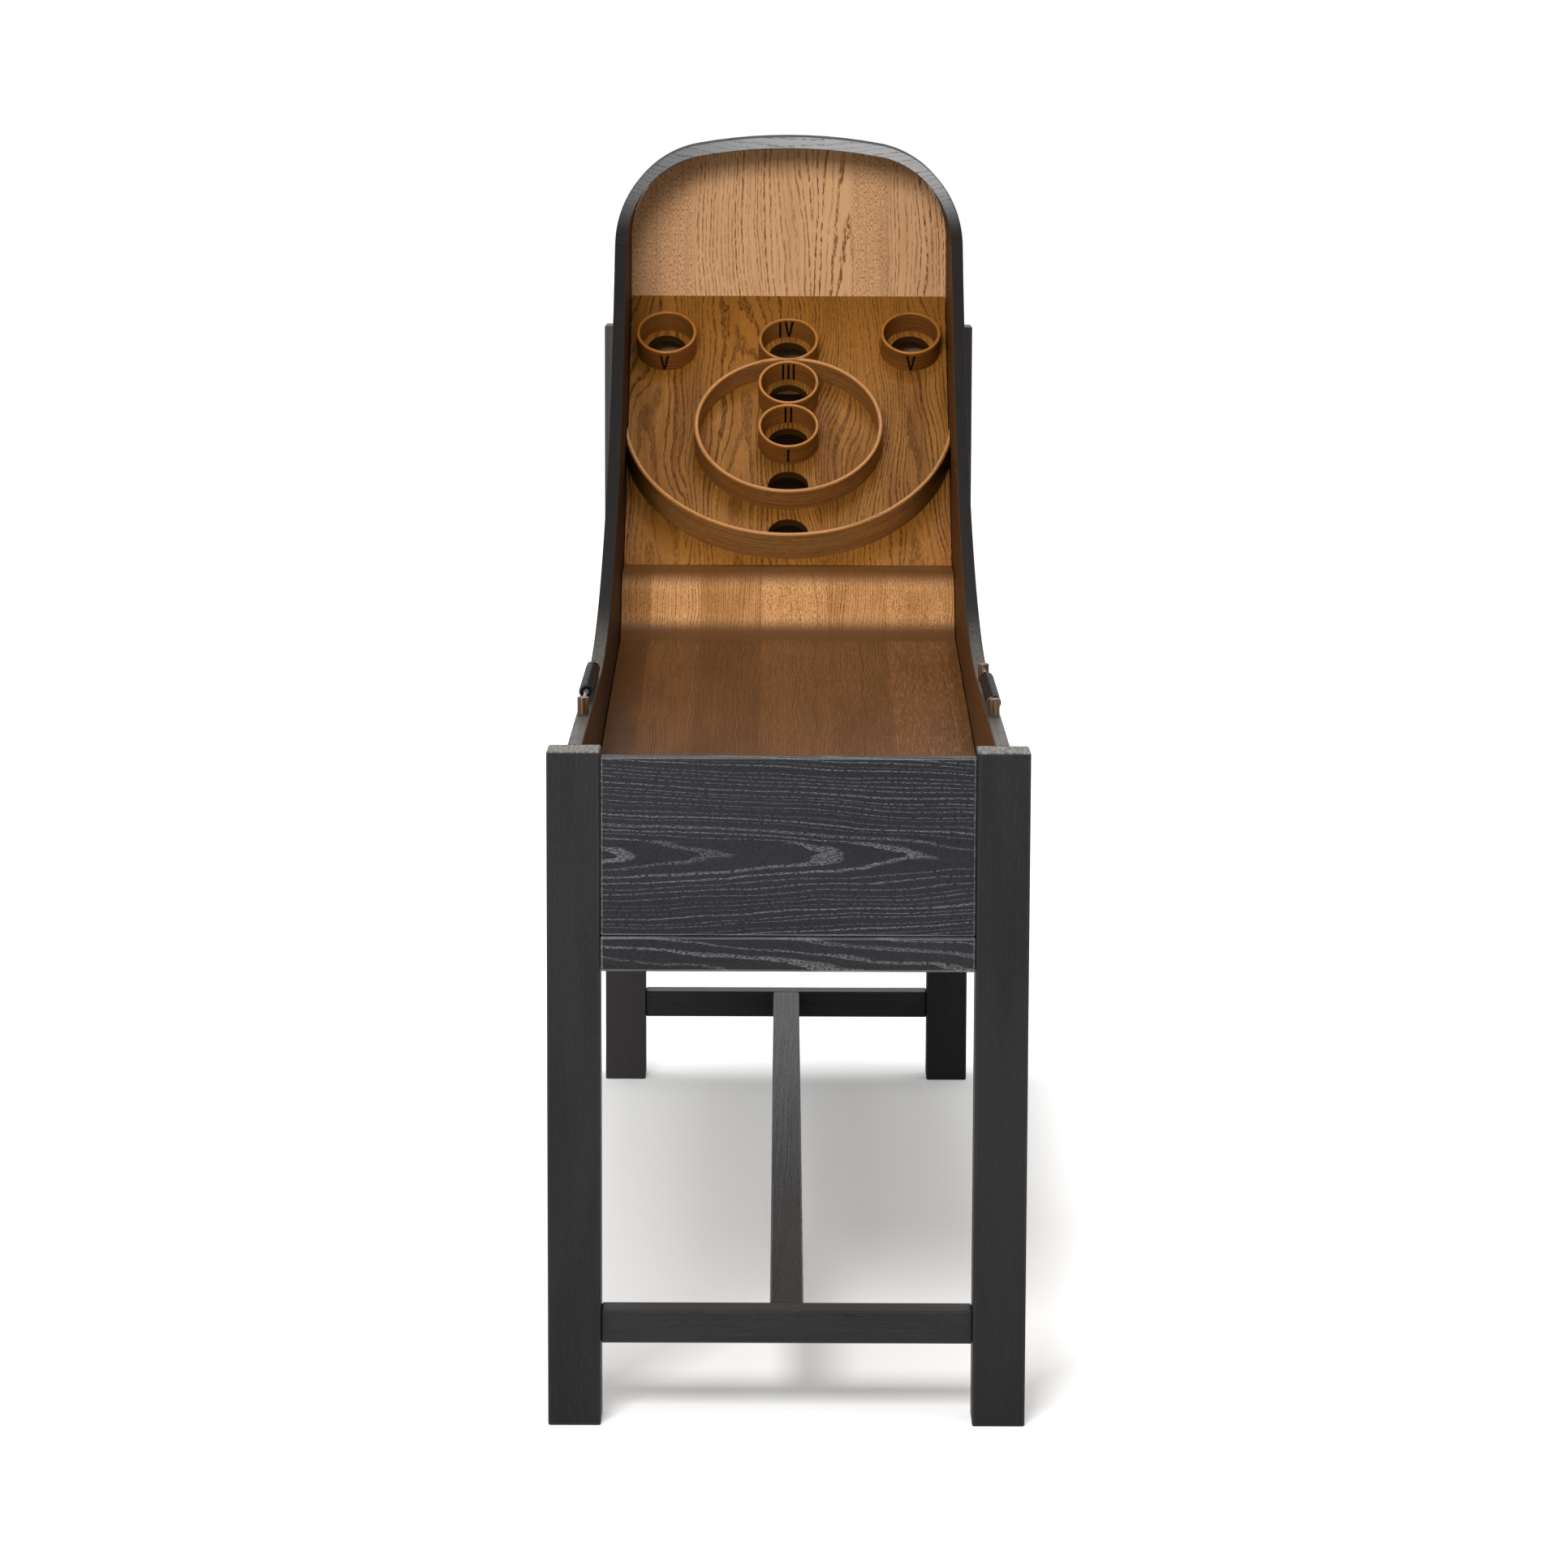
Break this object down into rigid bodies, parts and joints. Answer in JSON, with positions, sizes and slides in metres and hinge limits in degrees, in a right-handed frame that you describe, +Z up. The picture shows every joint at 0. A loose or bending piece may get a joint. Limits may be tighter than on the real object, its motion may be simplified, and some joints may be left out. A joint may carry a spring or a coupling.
{
  "type": "alley roller game table",
  "caption": "Game table whose sloping lane and curved ramp throw a rolled ball up into cups and rings on a slanted board under an arched hood, with sliding bead scorers on both side rails.",
  "frame": {"origin": "on the floor under the middle of the table", "axes": "+X to the right of the player, +Y away from the player along the lane, +Z up"},
  "size_m": [0.635, 2.352, 1.6524],
  "materials": {
    "black_oak": "black-stained open-grain oak, satin lacquer",
    "lane_oak": "dark brown oak staves, satin lacquer",
    "ramp_oak": "golden oak staves, satin lacquer",
    "target_oak": "golden brown oak veneer, satin lacquer",
    "back_panel_oak": "tan oak veneer, satin lacquer",
    "cup_oak": "brown oak, rounded rims, satin lacquer",
    "hidden_oak": "plain oak, thin dark stain",
    "bronze": "dark bronze, polished ends",
    "rod_steel": "bright drawn rod",
    "bead_black": "turned bead, black satin coat"
  },
  "bodies": {
    "table": {"front_left_leg": "black_oak", "front_right_leg": "black_oak", "back_left_post": "black_oak", "back_right_post": "black_oak", "front_stretcher": "black_oak", "back_stretcher": "black_oak", "centre_stretcher": "black_oak", "front_lower_rail": "black_oak", "back_lower_rail": "black_oak", "left_side_panel": "black_oak", "right_side_panel": "black_oak", "front_panel": "black_oak", "rear_access_panel": "black_oak", "arch_hood": "black_oak", "upper_back_panel": "back_panel_oak", "lane_board": "lane_oak", "launch_ramp": "ramp_oak", "target_board": "target_oak", "cup_two": "cup_oak", "cup_three": "cup_oak", "cup_four": "cup_oak", "left_cup_five": "cup_oak", "right_cup_five": "cup_oak", "inner_ring": "cup_oak", "outer_arc_rail": "cup_oak", "left_lane_bearer": "hidden_oak", "right_lane_bearer": "hidden_oak", "left_target_cleat": "hidden_oak", "right_target_cleat": "hidden_oak", "ball_drop_board": "hidden_oak", "ball_return_chute": "hidden_oak", "chute_bearer": "hidden_oak", "left_front_scorer_post": "bronze", "left_back_scorer_post": "bronze", "right_front_scorer_post": "bronze", "right_back_scorer_post": "bronze", "left_scorer_rod": "rod_steel", "right_scorer_rod": "rod_steel"},
    "left_bead_01": {"left_bead_01": "bead_black"},
    "left_bead_02": {"left_bead_02": "bead_black"},
    "left_bead_03": {"left_bead_03": "bead_black"},
    "left_bead_04": {"left_bead_04": "bead_black"},
    "left_bead_05": {"left_bead_05": "bead_black"},
    "left_bead_06": {"left_bead_06": "bead_black"},
    "left_bead_07": {"left_bead_07": "bead_black"},
    "left_bead_08": {"left_bead_08": "bead_black"},
    "left_bead_09": {"left_bead_09": "bead_black"},
    "left_bead_10": {"left_bead_10": "bead_black"},
    "left_bead_11": {"left_bead_11": "bead_black"},
    "right_bead_01": {"right_bead_01": "bead_black"},
    "right_bead_02": {"right_bead_02": "bead_black"},
    "right_bead_03": {"right_bead_03": "bead_black"},
    "right_bead_04": {"right_bead_04": "bead_black"},
    "right_bead_05": {"right_bead_05": "bead_black"},
    "right_bead_06": {"right_bead_06": "bead_black"},
    "right_bead_07": {"right_bead_07": "bead_black"},
    "right_bead_08": {"right_bead_08": "bead_black"},
    "right_bead_09": {"right_bead_09": "bead_black"},
    "right_bead_10": {"right_bead_10": "bead_black"},
    "right_bead_11": {"right_bead_11": "bead_black"}
  },
  "joints": [
    {"name": "left_bead_01_slide", "type": "slide", "parent": "table", "child": "left_bead_01", "axis": [0, -1, 0], "range_m": [0, 0.00945]},
    {"name": "left_bead_02_slide", "type": "slide", "parent": "left_bead_01", "child": "left_bead_02", "axis": [0, -1, 0], "range_m": [0, 0.00945]},
    {"name": "left_bead_03_slide", "type": "slide", "parent": "left_bead_02", "child": "left_bead_03", "axis": [0, -1, 0], "range_m": [0, 0.00945]},
    {"name": "left_bead_04_slide", "type": "slide", "parent": "left_bead_03", "child": "left_bead_04", "axis": [0, -1, 0], "range_m": [0, 0.00945]},
    {"name": "left_bead_05_slide", "type": "slide", "parent": "left_bead_04", "child": "left_bead_05", "axis": [0, -1, 0], "range_m": [0, 0.00945]},
    {"name": "left_bead_06_slide", "type": "slide", "parent": "left_bead_05", "child": "left_bead_06", "axis": [0, -1, 0], "range_m": [0, 0.00945]},
    {"name": "left_bead_07_slide", "type": "slide", "parent": "left_bead_06", "child": "left_bead_07", "axis": [0, -1, 0], "range_m": [0, 0.00945]},
    {"name": "left_bead_08_slide", "type": "slide", "parent": "left_bead_07", "child": "left_bead_08", "axis": [0, -1, 0], "range_m": [0, 0.00945]},
    {"name": "left_bead_09_slide", "type": "slide", "parent": "left_bead_08", "child": "left_bead_09", "axis": [0, -1, 0], "range_m": [0, 0.00945]},
    {"name": "left_bead_10_slide", "type": "slide", "parent": "left_bead_09", "child": "left_bead_10", "axis": [0, -1, 0], "range_m": [0, 0.00945]},
    {"name": "left_bead_11_slide", "type": "slide", "parent": "left_bead_10", "child": "left_bead_11", "axis": [0, -1, 0], "range_m": [0, 0.00945]},
    {"name": "right_bead_01_slide", "type": "slide", "parent": "table", "child": "right_bead_01", "axis": [0, 1, 0], "range_m": [0, 0.00945]},
    {"name": "right_bead_02_slide", "type": "slide", "parent": "right_bead_01", "child": "right_bead_02", "axis": [0, 1, 0], "range_m": [0, 0.00945]},
    {"name": "right_bead_03_slide", "type": "slide", "parent": "right_bead_02", "child": "right_bead_03", "axis": [0, 1, 0], "range_m": [0, 0.00945]},
    {"name": "right_bead_04_slide", "type": "slide", "parent": "right_bead_03", "child": "right_bead_04", "axis": [0, 1, 0], "range_m": [0, 0.00945]},
    {"name": "right_bead_05_slide", "type": "slide", "parent": "right_bead_04", "child": "right_bead_05", "axis": [0, 1, 0], "range_m": [0, 0.00945]},
    {"name": "right_bead_06_slide", "type": "slide", "parent": "right_bead_05", "child": "right_bead_06", "axis": [0, 1, 0], "range_m": [0, 0.00945]},
    {"name": "right_bead_07_slide", "type": "slide", "parent": "right_bead_06", "child": "right_bead_07", "axis": [0, 1, 0], "range_m": [0, 0.00945]},
    {"name": "right_bead_08_slide", "type": "slide", "parent": "right_bead_07", "child": "right_bead_08", "axis": [0, 1, 0], "range_m": [0, 0.00945]},
    {"name": "right_bead_09_slide", "type": "slide", "parent": "right_bead_08", "child": "right_bead_09", "axis": [0, 1, 0], "range_m": [0, 0.00945]},
    {"name": "right_bead_10_slide", "type": "slide", "parent": "right_bead_09", "child": "right_bead_10", "axis": [0, 1, 0], "range_m": [0, 0.00945]},
    {"name": "right_bead_11_slide", "type": "slide", "parent": "right_bead_10", "child": "right_bead_11", "axis": [0, 1, 0], "range_m": [0, 0.00945]}
  ]
}
